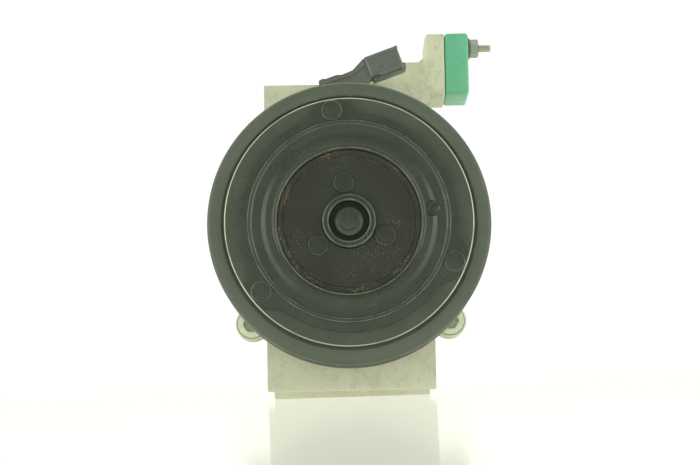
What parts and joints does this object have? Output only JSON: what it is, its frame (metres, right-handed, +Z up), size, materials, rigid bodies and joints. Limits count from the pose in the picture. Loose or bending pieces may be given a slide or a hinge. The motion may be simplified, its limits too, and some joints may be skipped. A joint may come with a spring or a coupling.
{
  "type": "automotive ac compressor",
  "caption": "Belt-driven car air-conditioning compressor with magnetic clutch, scroll pump, transverse mounting bosses, coil connector and capped hose manifold.",
  "frame": {"origin": "centre of the flat pad under the lower front mounting boss, which stands on the floor", "axes": "+Z up, +X towards the hose ports, +Y rearward along the shaft, so the clutch faces -Y; shaft axis at x 0, z 0.0765"},
  "size_m": [0.1441, 0.2138, 0.1875],
  "materials": {
    "cast_aluminium": "as-cast, matte",
    "machined_aluminium": "machined",
    "black_clutch": "black phosphate, satin",
    "bright_steel": "ground",
    "plated_steel": "zinc plated",
    "black_plastic": "moulded, fine grain",
    "green_plastic": "moulded, satin",
    "rubber": "matte",
    "brass": "turned",
    "coil_resin": "black, satin"
  },
  "bodies": {
    "casing": {"front_housing": "cast_aluminium", "rear_housing": "cast_aluminium", "housing_gasket": "rubber", "fixed_scroll": "machined_aluminium", "discharge_reed": "bright_steel", "reed_stop": "plated_steel", "reed_screw": "plated_steel", "thrust_plate": "bright_steel", "anti_rotation_pin_1": "bright_steel", "anti_rotation_pin_2": "bright_steel", "anti_rotation_pin_3": "bright_steel", "main_bearing_outer": "bright_steel", "nose_bearing": "bright_steel", "shaft_seal": "rubber", "housing_screw_1": "plated_steel", "housing_screw_2": "plated_steel", "housing_screw_3": "plated_steel", "housing_screw_4": "plated_steel", "scroll_bolt_1": "plated_steel", "scroll_bolt_2": "plated_steel", "scroll_bolt_3": "plated_steel", "manifold": "cast_aluminium", "manifold_screw_1": "plated_steel", "manifold_screw_2": "plated_steel", "port_stud": "plated_steel", "relief_valve": "brass", "field_coil": "coil_resin", "coil_snap_ring": "bright_steel", "coil_connector": "black_plastic", "connector_pin_1": "bright_steel", "connector_pin_2": "bright_steel", "pulley_bearing_inner": "bright_steel", "bearing_snap_ring": "bright_steel"},
    "pulley": {"pulley": "black_clutch", "pulley_bearing_outer": "bright_steel"},
    "pulley_ball_cage": {"pulley_bearing_balls": "bright_steel"},
    "rotor": {"drive_shaft": "bright_steel", "main_bearing_inner": "bright_steel", "eccentric_bush": "bright_steel", "clutch_hub": "black_clutch", "inner_disc": "black_clutch", "inner_rivet_1": "black_clutch", "inner_rivet_2": "black_clutch", "inner_rivet_3": "black_clutch", "clutch_bolt": "plated_steel", "damper_ring": "rubber"},
    "main_ball_cage": {"main_bearing_balls": "bright_steel"},
    "armature": {"hub_outer_ring": "black_clutch", "armature_plate": "black_clutch", "outer_rivet_1": "black_clutch", "outer_rivet_2": "black_clutch", "outer_rivet_3": "black_clutch"},
    "orbiter": {"orbiting_scroll": "machined_aluminium", "orbit_bearing": "bright_steel", "anti_rotation_ring_1": "bright_steel", "anti_rotation_ring_2": "bright_steel", "anti_rotation_ring_3": "bright_steel"},
    "shipping_cap": {"port_cap": "green_plastic", "cap_nut": "plated_steel"}
  },
  "joints": [
    {"name": "pulley_spin", "type": "hinge", "parent": "casing", "child": "pulley", "pos_m": [0, -0.0457, 0.0765], "axis": [0, 1, 0], "continuous": true},
    {"name": "pulley_cage_turn", "type": "hinge", "parent": "casing", "child": "pulley_ball_cage", "pos_m": [0, -0.0457, 0.0765], "axis": [0, 1, 0], "continuous": true},
    {"name": "rotor_spin", "type": "hinge", "parent": "casing", "child": "rotor", "pos_m": [0, -0.005, 0.0765], "axis": [0, 1, 0], "continuous": true},
    {"name": "main_cage_turn", "type": "hinge", "parent": "casing", "child": "main_ball_cage", "pos_m": [0, -0.005, 0.0765], "axis": [0, 1, 0], "continuous": true},
    {"name": "scroll_counter_turn", "type": "hinge", "parent": "rotor", "child": "orbiter", "pos_m": [0, 0.02, 0.0808], "axis": [0, 1, 0], "continuous": true},
    {"name": "armature_pull_in", "type": "slide", "parent": "rotor", "child": "armature", "axis": [0, 1, 0], "range_m": [0, 0.00045], "stiffness_N_per_m": 8000, "springref_m": -0.002, "deforming": ["damper_ring"]},
    {"name": "cap_pull_off", "type": "slide", "parent": "casing", "child": "shipping_cap", "axis": [1, 0, 0], "range_m": [0, 0.036]}
  ],
  "couplings": [
    {"joint": "pulley_cage_turn", "follows": "pulley_spin", "ratio": 0.5477},
    {"joint": "main_cage_turn", "follows": "rotor_spin", "ratio": 0.4468},
    {"joint": "scroll_counter_turn", "follows": "rotor_spin", "ratio": -1}
  ]
}
